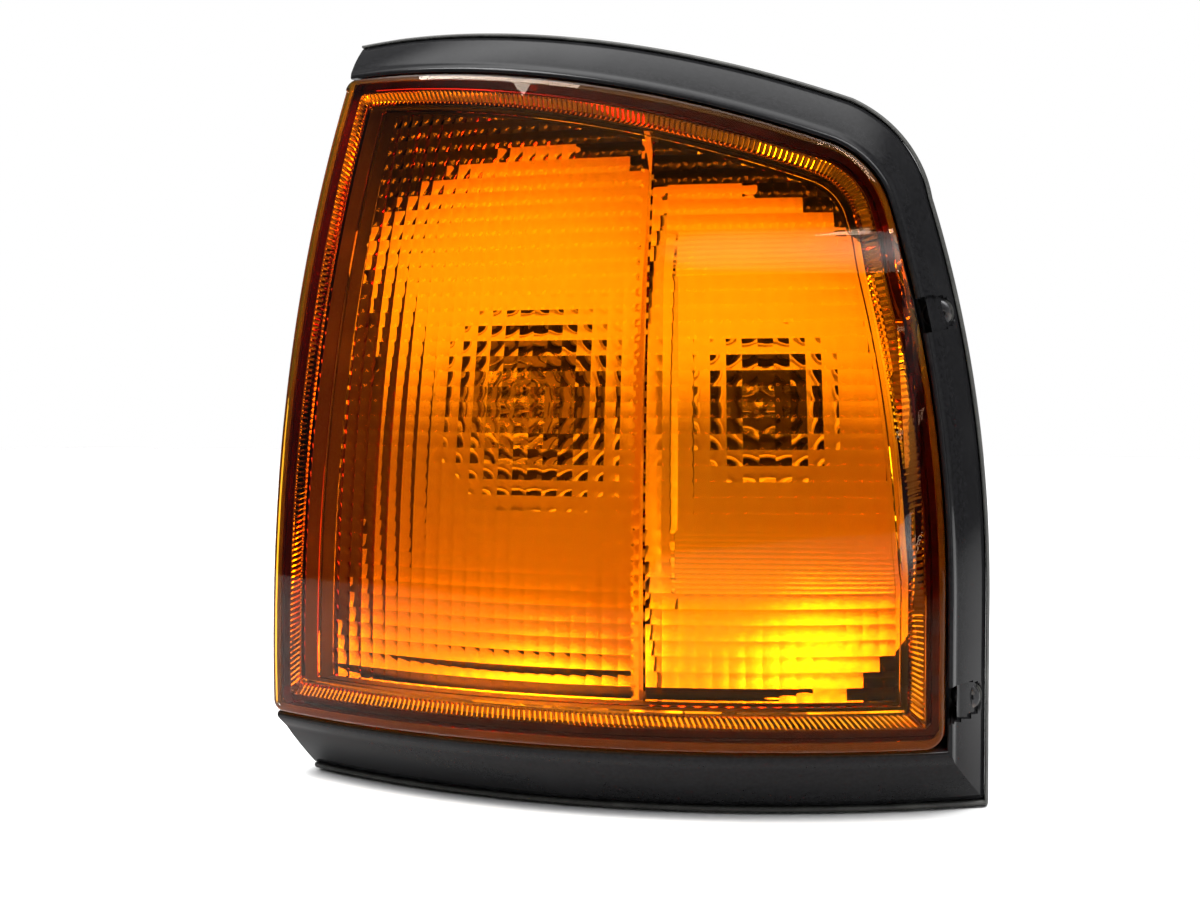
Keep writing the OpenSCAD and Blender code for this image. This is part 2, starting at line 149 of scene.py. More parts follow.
def circle(sides):
    """The angles of the corners of an even polygon."""
    return [2 * math.pi * k / sides for k in range(sides)]


class Skin:
    """Collects points and faces of one or more closed skins. Its rows are lists of point numbers."""

    def __init__(self):
        self.points = []
        self.faces = []

    def add(self, points):
        """Adds a row of points in metres."""
        start = len(self.points)
        self.points.extend(points)
        return list(range(start, start + len(points)))

    def band(self, a, b, closed=True):
        """Quads between two rows of the same length."""
        n = len(a)
        for i in range(n if closed else n - 1):
            j = (i + 1) % n
            self.faces.append((a[i], a[j], b[j], b[i]))

    def zip(self, a, b, ka, kb):
        """Triangles between two closed rows that run the same way; ka and kb are places round the loop, 0 to 1."""
        i = j = 0
        na, nb = len(a), len(b)
        while i < na or j < nb:
            next_a = ka[i + 1] if i + 1 < na else 1.0 + ka[0] if i < na else 9.0
            next_b = kb[j + 1] if j + 1 < nb else 1.0 + kb[0] if j < nb else 9.0
            if next_a <= next_b:
                self.faces.append((a[i % na], a[(i + 1) % na], b[j % nb]))
                i += 1
            else:
                self.faces.append((a[i % na], b[(j + 1) % nb], b[j % nb]))
                j += 1

    def bands(self, rows, closed=True):
        """Quads between each row and the next."""
        for a, b in zip(rows, rows[1:]):
            self.band(a, b, closed)

    def ends(self, first, last):
        """Closes both ends of a run of rows with one face each."""
        self.faces.append(tuple(first))
        self.faces.append(tuple(reversed(last)))

    def cap(self, row, centre):
        """A fan of triangles from a closed row to a point."""
        mid = self.add([centre])[0]
        n = len(row)
        for i in range(n):
            self.faces.append((row[i], row[(i + 1) % n], mid))

    def turned(self, profile, sides, to_world):
        """Revolves (radius, height) points; to_world places (x, y, height)."""
        rows = [self.add([to_world(r * math.cos(a), r * math.sin(a), h) for a in circle(sides)])
                for r, h in profile]
        self.bands(rows)
        self.faces.append(tuple(reversed(rows[0])))
        self.faces.append(tuple(rows[-1]))


def at_back(x, z):
    """Places (across, up, forward) points on an axis that runs forward from the rear face of the back wall."""
    return lambda a, b, forward: place(x + a, BACK_Y - forward, z + b)


# ---------------------------------------------------------------- outline loops
PER_RIB = 4
LEFT_ROUND = 3.0
LEAST_ROUND = 0.4
RUN_LENGTHS = (174, 7, 120, 24, 140, 5, 165)


def left_x(z, g):
    """The straight inner end, g inside it."""
    return -skin_r(z) * math.sin(END_ANGLE) + g / math.cos(END_ANGLE)


def outline_loop(g, g_left, counts):
    """The lens outline seen from the front, moved in by g (by g_left at the inner end), anticlockwise from the
    lower inner corner. counts gives the steps of its seven runs: bottom, foot, side, corner, top, a round of the
    inner end, and the inner end."""
    n_bottom, n_foot, n_side, n_corner, n_top, n_round, n_left = counts
    round_r = max(LEFT_ROUND - 0.3 * g, LEAST_ROUND)
    foot_r = max(FOOT_R - g, LEAST_ROUND)
    low_left = Vector((left_x(round_r, g_left) + round_r, g + round_r))
    top_at = lambda x: TOP_C.y + math.sqrt((TOP_R - g) ** 2 - (x - TOP_C.x) ** 2)
    x_top = left_x(LENS_H - 6, g_left) + round_r
    high_left = Vector((x_top, top_at(x_top) - round_r))
    foot_c = Vector((SIDE_X - g - foot_r, g + foot_r))
    points = []
    points += [Vector((blend(low_left.x, foot_c.x, k / n_bottom), g)) for k in range(n_bottom)]
    points += [foot_c + foot_r * polar(math.pi / 2 * (k / n_foot - 1)) for k in range(n_foot)]
    straight = int(n_side * 0.25)
    points += [Vector((SIDE_X - g, blend(foot_c.y, SIDE_C.y, k / straight))) for k in range(straight)]
    arc = n_side - straight
    points += [SIDE_C + (SIDE_R - g) * polar(SIDE_END * k / arc) for k in range(arc)]
    points += [CORNER_C + (CORNER_R - g) * polar(blend(SIDE_END, CORNER_END, k / n_corner))
               for k in range(n_corner)]
    top_end = math.acos((x_top - TOP_C.x) / (TOP_R - g))
    points += [TOP_C + (TOP_R - g) * polar(blend(CORNER_END, top_end, k / n_top)) for k in range(n_top)]
    points += [high_left + round_r * polar(math.pi / 2 * (1 + k / n_round)) for k in range(n_round)]
    for k in range(n_left):
        z = blend(high_left.y, low_left.y, k / n_left)
        points.append(Vector((left_x(z, g_left), z)))
    points += [low_left + round_r * polar(math.pi * (1 + k / (2 * n_round))) for k in range(n_round)]
    return points


def loop_counts(step):
    """Steps of about one length on each run, in whole ribs."""
    return [max(PER_RIB, PER_RIB * round(length / step / PER_RIB)) for length in RUN_LENGTHS]


def loop_places(points):
    """Share of the loop's length at each of its points."""
    total = 0.0
    places = []
    for a, b in zip(points, points[1:] + points[:1]):
        places.append(total)
        total += (b - a).length
    return [p / total for p in places]


def end_distance(x, y):
    """Distance outboard of the radial plane at the inner end."""
    return x * math.cos(END_ANGLE) - y * math.sin(END_ANGLE)


def within(x, z, g):
    """Whether a point of the front view is inside the bottom, side, corner and top edges by more than g."""
    if z < g or x > SIDE_X - g:
        return False
    p = Vector((x, z))
    if z > SIDE_C.y and (p - SIDE_C).length > SIDE_R - g:
        return False
    if (p - TOP_C).length > TOP_R - g:
        return False
    from_corner = p - CORNER_C
    turn = math.atan2(from_corner.y, from_corner.x)
    return not (SIDE_END < turn < CORNER_END and from_corner.length > CORNER_R - g)


def nearest_on(p, loop):
    """The nearest point of a closed loop: its distance squared, itself, its edge and its share of that edge."""
    best = None
    for i, a in enumerate(loop):
        b = loop[(i + 1) % len(loop)]
        ab = b - a
        t = min(max((p - a).dot(ab) / max(ab.length_squared, 1e-12), 0.0), 1.0)
        q = a + ab * t
        d = (p - q).length_squared
        if best is None or d < best[0]:
            best = (d, q, i, t)
    return best


# ---------------------------------------------------------------- lens
LENS_T = 3.0
SKIN_IN = 0.03
SUB = 5
SEAM = (math.radians(4.05), math.radians(4.75))
FIRST_CELL = math.radians(-17.6)
LAST_CELL = math.radians(20.6)
CELLS_LEFT, CELLS_RIGHT = 22, 16
ROW_0, ROW_H, ROWS = 12.0, 4.0, 40
FINE_ROWS = (7, 8, 9, 10, 27, 28, 29)
FINE, FINE_SUB = 3, 4
FINE_FROM = math.radians(6.5)
CELL_DEPTH, FINE_DEPTH = 0.7, 0.3
SEAM_RIDGE = 0.7
BULGE_NORMAL = Vector((0.1377, -0.9794, 0.1478))
BULGE_FACE = 247.74
CELLS_AT, CELLS_AT_LEFT = 12.4, 20.0
RIB_PITCH, RIB_DEPTH = 1.5, 0.55
OUTER_LINES = (110, 100)

# Rings from the outer face round the edge and leg to the cells: inset, inset at the inner end, depth, rib share
RINGS = [
    (1.6, 1.6, 0, 0), (0.6, 0.6, 0.12, 0), (0.15, 0.15, 0.45, 0), (0, 0, 1, 0), (0, 0, 3.1, 0),
    (0.15, 0.15, 3.3, 0), (2, 2, 3.4, 0), (2.2, 2.2, 3.6, 0), (2.2, 2.2, 9.7, 0), (2.5, 2.5, 10, 0),
    (4.7, 4.7, 10, 0), (5, 5, 9.7, 0), (5, 5, 3.7, 0), (5.3, 5.3, 3.3, 0), (5.7, 5.7, 3, 1),
    (8.4, 8.4, 3, 1), (8.9, 8.9, 3, 0), (9.2, 9.3, 1.5, 0), (9.8, 10.1, 1.5, 0), (10.1, 10.5, 3, 0),
    (11, 14.8, 3, 0), (11.2, 15.2, 2.6, 0), (11.4, 15.6, 3, 0), (CELLS_AT, CELLS_AT_LEFT, 3, 0)
]


def bulge(x, z):
    """How far the flat-faced bulge of the side light stands out from the barrel."""
    plane_y = (BULGE_FACE - BULGE_NORMAL.x * x - BULGE_NORMAL.z * z) / BULGE_NORMAL.y
    proud = max(skin_y(x, z) - plane_y, 0.0)
    across = smooth(x, 14, 38) * (1 - smooth(x, 82.5, 87.5))
    return proud * across * smooth(z, 38, 57) * (1 - smooth(z, 119, 132))


def lens_point(x, z, depth):
    """A point of the lens at a depth behind its outer face, bulge included."""
    inward = x * (1 - smooth(-x, 40, 85) * depth / skin_r(z))
    return place(inward, skin_y(inward, z, depth + SKIN_IN - bulge(x, z)), z)


def pillow(u, v, height):
    """Height of a pillow at u, v from 0 to 1 across it."""
    return height * (1 - 0.5 * (2 * u - 1) ** 2 - 0.5 * (2 * v - 1) ** 2)


def column_lines():
    """Grid lines across the cells: angle and place within the cell, or None on the seam."""
    step = (SEAM[0] - FIRST_CELL) / CELLS_LEFT
    lines = [(FIRST_CELL + step * k / SUB, k % SUB / SUB) for k in range(CELLS_LEFT * SUB)]
    lines += [(blend(SEAM[0], SEAM[1], k / 4), None) for k in range(4)]
    step = (LAST_CELL - SEAM[1]) / CELLS_RIGHT
    lines += [(SEAM[1] + step * k / SUB, k % SUB / SUB) for k in range(CELLS_RIGHT * SUB + 1)]
    return lines


def row_lines():
    """Grid lines up the cells: height, place within the cell and place within a fine row, if any."""
    lines = []
    for row in range(ROWS):
        count = FINE * FINE_SUB if row in FINE_ROWS else SUB
        for k in range(count):
            fine = k % FINE_SUB / FINE_SUB if row in FINE_ROWS else None
            lines.append((ROW_0 + ROW_H * (row + k / count), k / count, fine))
    return lines


def fill_grid(skin, loop, g, g_left, grid, finish):
    """Fills a loop of the front view with a grid whose outermost points slide onto the loop. grid holds rows of
    front-view points and finish(i, j, p) makes the finished point. Returns the edge row and its places."""
    places = loop_places(loop)
    keep = [[within(p.x, p.y, g) and p.x > left_x(p.y, g_left) for p in line] for line in grid]
    index, edge, used = {}, {}, set()

    def vertex(i, j):
        if (i, j) not in index:
            p = grid[i][j]
            if not keep[i][j]:
                _, p, k, t = nearest_on(p, loop)
                edge[(i, j)] = blend(places[k], places[k + 1] if k + 1 < len(loop) else 1.0, t)
            index[(i, j)] = skin.add([finish(i, j, p)])[0]
        return index[(i, j)]

    for i in range(len(grid) - 1):
        for j in range(len(grid[0]) - 1):
            corners = ((i, j), (i + 1, j), (i + 1, j + 1), (i, j + 1))
            if any(keep[a][b] for a, b in corners):
                skin.faces.append(tuple(vertex(a, b) for a, b in corners))
                used.update(zip(corners, corners[1:] + corners[:1]))
    follow = {a: b for a, b in used if (b, a) not in used}
    row = [min(follow, key=lambda key: edge[key])]
    while follow[row[-1]] != row[0]:
        row.append(follow[row[-1]])
    return [index[key] for key in row], [edge[key] for key in row]


def make_lens(material):
    """The lens: its ringed edge, the pillow cells behind it and the plain face in front."""
    skin = Skin()
    counts = loop_counts(RIB_PITCH / PER_RIB)
    rows, loops = [], []
    for g, g_left, depth, rib in RINGS:
        loop = outline_loop(g, g_left, counts)
        loops.append(loop)
        rows.append(skin.add([
            lens_point(p.x, p.y, depth + rib * RIB_DEPTH * abs(2 * (k % PER_RIB) / PER_RIB - 1))
            for k, p in enumerate(loop)]))
    for a, b in zip(rows, rows[1:]):
        skin.band(b, a)

    def angle_grid(angles, heights):
        return [[Vector((skin_r(z) * math.sin(a), z)) for z in heights] for a in angles]

    columns, lines = column_lines(), row_lines()

    def inner(i, j, p):
        u, v, fine = columns[i][1], lines[j][1], lines[j][2]
        if u is None:
            return lens_point(p.x, p.y, LENS_T + SEAM_RIDGE)
        if fine is not None and columns[i][0] > FINE_FROM:
            return lens_point(p.x, p.y, LENS_T + pillow(u, fine, FINE_DEPTH))
        return lens_point(p.x, p.y, LENS_T + pillow(u, v, CELL_DEPTH))

    last = len(RINGS) - 1
    grid = angle_grid([c[0] for c in columns], [r[0] for r in lines])
    edge, at = fill_grid(skin, loops[last], CELLS_AT, CELLS_AT_LEFT, grid, inner)
    skin.zip(rows[last], edge, loop_places(loops[last]), at)
    n_across, n_up = OUTER_LINES
    grid = angle_grid(
        [blend(-END_ANGLE - 0.01, 0.42, k / n_across) for k in range(n_across + 1)],
        [blend(0, LENS_H + 1, k / n_up) for k in range(n_up + 1)])
    edge, at = fill_grid(skin, loops[0], RINGS[0][0], RINGS[0][1], grid,
                         lambda i, j, p: lens_point(p.x, p.y, 0))
    skin.zip(rows[0], edge, loop_places(loops[0]), at)
    mesh_piece("lens_optics", skin, "lamp_body", material, "lens", 18)


# ---------------------------------------------------------------- trim and edge seal
REACH_BOTTOM, REACH_SIDE, REACH_TOP = 19.0, 10.5, 14.5
TRIM_GAP = 0.6
UPPER_SCREW = SIDE_C + (SIDE_R + SCREW_OUT) * polar(math.radians(12.2))
LOWER_SCREW = Vector((SIDE_X + SCREW_OUT, LOW_SCREW_Z))
CUP_R = 4.4
CUP_FLOOR = 6.5
TRIM_END = 0.895
TRIM_BACK = 14.3
TRIM_T = 2.4
TOP_TRIM_END = math.radians(88)
SEAL_PROFILE = [
    (0.912, 0, 15.6), (0.912, 0, 11.3), (0.925, 0, 10.9), (0.95, 0, 10.75), (0.975, 0, 11.1),
    (0.992, 0, 11.9), (0.998, 0, 12.9), (0.998, 0, 16.1), (0.985, 0, 16.4), (0.93, 0, 16.2)
]


def stations():
    """Places round the trim: point on the outline, outward direction, outward reach."""
    def straight(a, b, n):
        return [tuple(blend(Vector(p), Vector(q), k / n) for p, q in zip(a, b)) for k in range(n)]

    def round_run(c, r, a, b, n, k0, k1):
        out = []
        for k in range(n):
            w = polar(blend(a, b, k / n))
            out.append((c + r * w, w, w * blend(k0, k1, k / n)))
        return out

    inner_bottom = ((-92, 0), (0, -1), (8, -REACH_BOTTOM))
    bottom = ((-80, 0), (0, -1), (0, -REACH_BOTTOM))
    bottom_out = ((84, 0), (0, -1), (0, -REACH_BOTTOM))
    mitre = ((SIDE_X, 0), (1, -1), (REACH_SIDE, -REACH_BOTTOM))
    side = ((SIDE_X, 10), (1, 0), (REACH_SIDE, 0))
    side_up = ((SIDE_X, 35), (1, 0), (REACH_SIDE, 0))
    top_w = polar(TOP_TRIM_END)
    top = (TOP_C + TOP_R * top_w, top_w, REACH_TOP * top_w)
    last = TOP_C + TOP_R * polar(math.radians(89.3))
    inner_top = (last, Vector((0, 1)), Vector((-5, REACH_TOP)))
    return (straight(inner_bottom, bottom, 10) + straight(bottom, bottom_out, 90) + straight(bottom_out, mitre, 8)
            + straight(mitre, side, 20) + straight(side, side_up, 40)
            + round_run(SIDE_C, SIDE_R, 0, SIDE_END, 190, REACH_SIDE, REACH_SIDE)
            + round_run(CORNER_C, CORNER_R, SIDE_END, CORNER_END, 40, REACH_SIDE, REACH_TOP)
            + round_run(TOP_C, TOP_R, CORNER_END, TOP_TRIM_END, 90, REACH_TOP, REACH_TOP)
            + straight(top, inner_top, 6) + [inner_top])


def trim_depth(u):
    """Depth of the trim's face from its crest to its outer edge."""
    return 1.1 + 12.2 * u ** 1.35


def trim_profile():
    """Closed section of the trim: reach share, gap, depth, and whether it is part of the front."""
    front = [(0, TRIM_GAP, d, True) for d in (14.4, 11, 8, 5, 3, 2)]
    front += [(0, TRIM_GAP + 0.15, 1.4, True), (0, TRIM_GAP + 0.5, 1.1, True)]
    front += [(0, 1.5, 1.02, True), (0, 1.9, 1.06, True)]
    steps = 24
    for k in range(1, steps + 1):
        u = TRIM_END * k / steps
        front.append((u, blend(1.9, 0, min(4 * u, 1)), trim_depth(u), True))
    edge = trim_depth(TRIM_END)
    back = [(TRIM_END + 0.01, 0, edge + 0.5, False), (TRIM_END + 0.01, 0, TRIM_BACK, False),
            (TRIM_END - 0.05, 0, TRIM_BACK, False)]
    for k in range(9, 1, -1):
        u = (TRIM_END - 0.05) * k / 10
        back.append((u, 1.0, min(trim_depth(u) + TRIM_T, TRIM_BACK), False))
    back += [(0, 2.8, 4, False), (0, 2.6, 14.4, False)]
    return front + back


def seat_y(s):
    """Where the flange's seat is behind a point of the front view."""
    return skin_y(s.x, s.y, FLANGE_BACK)


def in_recess(p):
    """The mounting screw whose D-shaped recess holds a point of the front view, if any."""
    for s in (LOWER_SCREW, UPPER_SCREW):
        away = p - s
        out = Vector((1, 0)) if s is LOWER_SCREW else (s - SIDE_C).normalized()
        if away.length < CUP_R or (away.dot(out) < 0 and abs(away.cross(out)) < CUP_R and away.length < 3 * CUP_R):
            return s
    return None


def swept(profile, recess):
    """A closed skin of a section carried round the trim's stations; recess sinks it round the screws."""
    skin = Skin()
    rows = []
    for spot, outward, reach in stations():
        row = []
        for u, gap, depth, front in profile:
            p = spot + outward * gap + reach * u
            y = skin_y(p.x, p.y, depth)
            s = in_recess(p) if recess and front else None
            if s is not None:
                y = max(y, seat_y(s) - CUP_FLOOR)
            row.append(place(p.x, y, p.y))
        rows.append(skin.add(row))
    skin.bands(rows)
    skin.ends(rows[0], rows[-1])
    return skin


def make_trim(material):
    mesh_piece("trim_shell", swept(trim_profile(), True), "lamp_body", material, "trim", 38)


def make_edge_seal(material):
    skin = swept([p + (False,) for p in SEAL_PROFILE], False)
    mesh_piece("edge_seal_bead", skin, "lamp_body", material, "edge_seal", 50)


# ---------------------------------------------------------------- reflectors
BULB_Z = 85.0
TURN_X, SIDE_BULB_X = -27.0, 43.0
REFLECTOR_IN, REFLECTOR_SKIN, SPLIT_X = 9.6, 14.6, 16.0
SPLIT_GAP = 0.3
BOWL_T = 1.8
MAIN_FOCUS, MAIN_VERTEX, MAIN_HOLE = 60.0, 6.0, 22.0
SIDE_FOCUS, SIDE_VERTEX, SIDE_HOLE = 48.0, 11.0, 15.0
FAR_X = 150.0
BOWL_RINGS, BOWL_SIDES = 44, 240
PARTITION_ROWS = 60
PARTITION_EDGE = [(-0.8, 0), (-0.8, 1), (-0.55, 1.6), (0, 1.8), (0.55, 1.6), (0.8, 1), (0.8, 0)]
HALVINGS = 30


def furthest(fits, low, high):
    """The last number between low, which fits, and high, which doesn't."""
    for _ in range(HALVINGS):
        mid = (low + high) / 2
        low, high = (mid, high) if fits(mid) else (low, mid)
    return low


def bowl_reach(cx, angle, height, low_x, high_x):
    """How far a bowl runs from its axis before it meets the room's walls, the split or the lens."""
    def fits(r):
        x, z = cx + r * math.cos(angle), BULB_Z + r * math.sin(angle)
        y = BACK_Y - height(r)
        return (within(x, z, REFLECTOR_IN) and end_distance(x, y) > REFLECTOR_IN
                and low_x < x < high_x and y > skin_y(x, z, REFLECTOR_SKIN))
    return furthest(fits, 10.0, 140.0)


def paraboloid(focus, vertex):
    """Height of a reflector over the back wall's rear face, by the distance from its axis."""
    return lambda r: vertex + r * r / (4 * focus)


def bowl(skin, cx, height, hole, low_x, high_x):
    """A bowl with a rolled collar round its middle hole."""
    at = at_back(cx, BULB_Z)
    reach = [bowl_reach(cx, a, height, low_x, high_x) for a in circle(BOWL_SIDES)]

    def ring(radius_of, height_of):
        out = []
        for k, a in enumerate(circle(BOWL_SIDES)):
            r = radius_of(k)
            out.append(at(r * math.cos(a), r * math.sin(a), height_of(r)))
        return skin.add(out)

    rows = [ring(lambda k: hole, lambda r: WALL + 0.2)]
    for out, up in ((0, 1.2), (0.3, 1.8), (1.1, 2), (1.8, 1.7), (2, 1)):
        rows.append(ring(lambda k: hole + out, lambda r: height(r) + up))
    inner = hole + 2.1
    for i in range(BOWL_RINGS + 1):
        t = i / BOWL_RINGS
        rows.append(ring(lambda k: blend(inner, reach[k], t), height))
    for i in range(BOWL_RINGS, -1, -4):
        t = i / BOWL_RINGS
        rows.append(ring(lambda k: blend(inner, reach[k], t), lambda r: height(r) - BOWL_T))
    rows.append(ring(lambda k: hole + 2, lambda r: WALL + 0.2))
    skin.bands(rows + rows[:1])


def partition(skin, height):
    """Upright wall between the two bowls, with a rounded front edge."""
    x0 = SPLIT_X - 1
    thick = PARTITION_EDGE[3][1]
    top = furthest(lambda z: within(x0, z, REFLECTOR_IN), BULB_Z, 2 * BULB_Z)
    rows = []
    for k in range(PARTITION_ROWS + 1):
        z = blend(REFLECTOR_IN + 0.2, top - 0.2, k / PARTITION_ROWS)
        front = skin_y(x0, z, REFLECTOR_SKIN)
        back = BACK_Y - height(math.hypot(x0 - TURN_X, z - BULB_Z)) + 0.5
        rows.append(skin.add([place(x0 + dx, front + thick - dy if dy else back, z) for dx, dy in PARTITION_EDGE]))
    skin.bands(rows)
    skin.ends(rows[0], rows[-1])


def make_reflectors(material):
    main, main_height = Skin(), paraboloid(MAIN_FOCUS, MAIN_VERTEX)
    bowl(main, TURN_X, main_height, MAIN_HOLE, -FAR_X, SPLIT_X - SPLIT_GAP)
    partition(main, main_height)
    mesh_piece("main_reflector_bowl", main, "lamp_body", material, "main_reflector", 35)
    side = Skin()
    bowl(side, SIDE_BULB_X, paraboloid(SIDE_FOCUS, SIDE_VERTEX), SIDE_HOLE, SPLIT_X + SPLIT_GAP, FAR_X)
    mesh_piece("side_reflector_bowl", side, "lamp_body", material, "side_reflector", 35)


# ---------------------------------------------------------------- bulbs
BULB_R, BULB_C, NECK_R, GLASS_T = 13.25, 26.0, 6.6, 0.8
COIL_TURNS, COIL_STEPS, COIL_R, COIL_HALF, COIL_Y = 14, 12, 0.75, 2.8, 25.0
WIRE_R, WIRE_SIDES = 0.16, 5
WEDGE_R, WEDGE_C, WEDGE_T, WEDGE_END = 5.1, 27.0, 0.7, 32.1


def squared(share):
    """Pushes a sine or cosine outward, which makes a rounded box of an ellipse."""
    return abs(share) ** 0.4 * math.copysign(1, share)


def arc_profile(r, centre, a, b, n):
    """Points of an arc round a height on the axis, from angle a to b above the plane of that height."""
    turns = [math.radians(blend(a, b, k / n)) for k in range(n + 1)]
    return [(r * math.cos(turn), centre + r * math.sin(turn)) for turn in turns]


def glass_skin(outer, inner, sides, at):
    """A blown envelope, and the range of its faces that line the hollow."""
    skin = Skin()
    skin.turned(outer, sides, at)
    first = len(skin.faces)
    skin.turned(inner, sides, at)
    return skin, (first, len(skin.faces))


def make_turn_bulb(glass, metal):
    """Round envelope of the bayonet bulb, and its stem, two supports and coiled filament."""
    at = at_back(TURN_X, BULB_Z)

    def wall(neck, r, start):
        low = -math.degrees(math.acos(neck / r))
        return [(neck, start), (neck, 9)] + arc_profile(r, BULB_C, low, 89, 40)

    skin, cavity = glass_skin(wall(NECK_R, BULB_R, 2.2), wall(NECK_R - GLASS_T, BULB_R - GLASS_T, 5.2), 96, at)
    mesh_piece("turn_bulb_envelope", skin, "turn_bulb", glass, "turn_bulb_glass", 60, cavity)
    skin = Skin()
    skin.turned([(0.6, 5), (2.4, 5), (2.4, 9.5), (1.6, 12), (0.5, 12.4)], 48, at)
    for side in (-1, 1):
        support = lambda a, b, f, s=side: at(a + s * COIL_HALF, b, f)
        skin.turned([(0.35, 8), (0.35, 24.6), (0.1, 24.9)], 12, support)
    rows = []
    steps = COIL_TURNS * COIL_STEPS
    for k in range(steps + 1):
        a = 2 * math.pi * k / COIL_STEPS
        across = blend(-COIL_HALF, COIL_HALF, k / steps)
        up, forward = COIL_R * math.cos(a), COIL_R * math.sin(a)
        row = []
        for turn in circle(WIRE_SIDES):
            swell = 1 + WIRE_R / COIL_R * math.cos(turn)
            row.append(at(across + WIRE_R * math.sin(turn), up * swell, COIL_Y + forward * swell))
        rows.append(skin.add(row))
    skin.bands(rows)
    skin.ends(rows[0], rows[-1])
    mesh_piece("turn_filament_coil", skin, "turn_bulb", metal, "turn_filament", 50)


def make_side_bulb(glass):
    """Envelope of the wedge bulb, with its pip and its flat foot."""
    at = at_back(SIDE_BULB_X, BULB_Z)
    outer = [(3.6, 12.6), (4.6, 13.2), (WEDGE_R, 14.6), (WEDGE_R, WEDGE_C)]
    outer += arc_profile(WEDGE_R, WEDGE_C, 2, 80, 14) + [(0.9, 32.15), (0.6, 32.6), (0.15, 32.9)]
    inner_r = WEDGE_R - WEDGE_T
    inner = [(3.2, 15.0), (4.3, 15.6), (inner_r, WEDGE_C)] + arc_profile(inner_r, WEDGE_C, 2, 89, 14)
    skin, cavity = glass_skin([(r, min(h, WEDGE_END)) for r, h in outer], inner, 72, at)
    rows = []
    for forward, half_w, half_t in ((6.1, 4.6, 1.0), (6.4, 4.8, 1.2), (12.4, 4.8, 1.2), (13.4, 4.3, 1.9)):
        rows.append(skin.add([at(half_w * squared(math.cos(a)), half_t * squared(math.sin(a)), forward)
                              for a in circle(32)]))
    skin.bands(rows)
    skin.faces.append(tuple(reversed(rows[0])))
    skin.faces.append(tuple(rows[-1]))
    mesh_piece("side_bulb_envelope", skin, "side_bulb", glass, "side_bulb_glass", 60, cavity)


# ---------------------------------------------------------------- screws
BIG_SCREW = dict(head_r=3.7, head_h=2.6, core_r=1.9, thread_r=2.38, pitch=1.6, length=26.9, recess=1.4)
SMALL_SCREW = dict(head_r=3.2, head_h=2.2, core_r=1.1, thread_r=1.48, pitch=1.1, recess=1.2)
TRIM_SCREW_L, REFLECTOR_SCREW_L = 10.4, 9.9
HEAD_SIDES, HEAD_RINGS, SHANK_SIDES, TURN_STEPS = 72, 14, 24, 12
BIG_SCREW_FORWARD = 11.0
REFLECTOR_SCREW_OUT = 1.5
TRIM_SPOT_OUT = 7.5
TRIM_SPOTS = [Vector((-58, -9.1)), Vector((12, -9.1)), Vector((70, -9.1)),
              TOP_C + (TOP_R + TRIM_SPOT_OUT) * polar(math.radians(88)),
              TOP_C + (TOP_R + TRIM_SPOT_OUT) * polar(math.radians(79))]
REFLECTOR_SPOTS = [Vector((-57, 40)), Vector((-57, 128)), Vector((-4, 34)), Vector((40, 34)), Vector((46, 132))]
BOSS_BACK, POST_BACK = 3.5, 2.5


def cross_recess(x, y, half, slot):
    """Depth share of a cross recess at x, y of a screw head."""
    along, across = max(abs(x), abs(y)), min(abs(x), abs(y))
    return smooth(along, half, half * 0.75) * smooth(across, slot, slot * 0.55)


def screw(skin, to_world, head_r, head_h, core_r, thread_r, pitch, recess, length):
    """A pan-head screw with a cross recess: head from 0 to head_h, threaded shank from 0 to -length."""
    rows = []
    slot, half = head_r * 0.16, head_r * 0.56
    for k in range(HEAD_RINGS, 0, -1):
        tilt = math.pi / 2 * k / HEAD_RINGS
        r = head_r * math.sin(tilt)
        h = head_h * (0.45 + 0.55 * math.cos(tilt) ** 0.8)
        row = []
        for a in circle(HEAD_SIDES):
            x, y = r * math.cos(a), r * math.sin(a)
            row.append(to_world(x, y, h - recess * cross_recess(x, y, half, slot)))
        rows.append(skin.add(row))
    foot_r = head_r * 0.97
    base = skin.add([to_world(foot_r * math.cos(a), foot_r * math.sin(a), 0) for a in circle(HEAD_SIDES)])
    skin.band(base, rows[0])
    skin.bands(rows)
    skin.cap(rows[-1], to_world(0, 0, head_h - recess))
    skin.faces.append(tuple(reversed(base)))
    steps = int(length / pitch * TURN_STEPS)
    shank = []
    for k in range(steps + 1):
        h = -length * k / steps
        tip = smooth(k / steps, 0.86, 1.0)
        start = smooth(k / steps, 0.0, 0.03)
        row = []
        for i, a in enumerate(circle(SHANK_SIDES)):
            phase = (h / pitch + i / SHANK_SIDES) % 1.0
            tooth = max(1 - abs(2 * phase - 1) * 1.9, 0.0)
            r = blend(blend(core_r, thread_r, tooth * start), core_r * 0.35, tip)
            row.append(to_world(r * math.cos(a), r * math.sin(a), h))
        shank.append(skin.add(row))
    for a, b in zip(shank, shank[1:]):
        skin.band(b, a)
    skin.ends(shank[0], shank[-1])


def facing(x, y, z, sign=1.0):
    """Places (across, up, along) points on an axis along y, forward for sign 1 and backward for sign -1."""
    return lambda a, b, along: place(x + a * sign, y - along * sign, z + b)


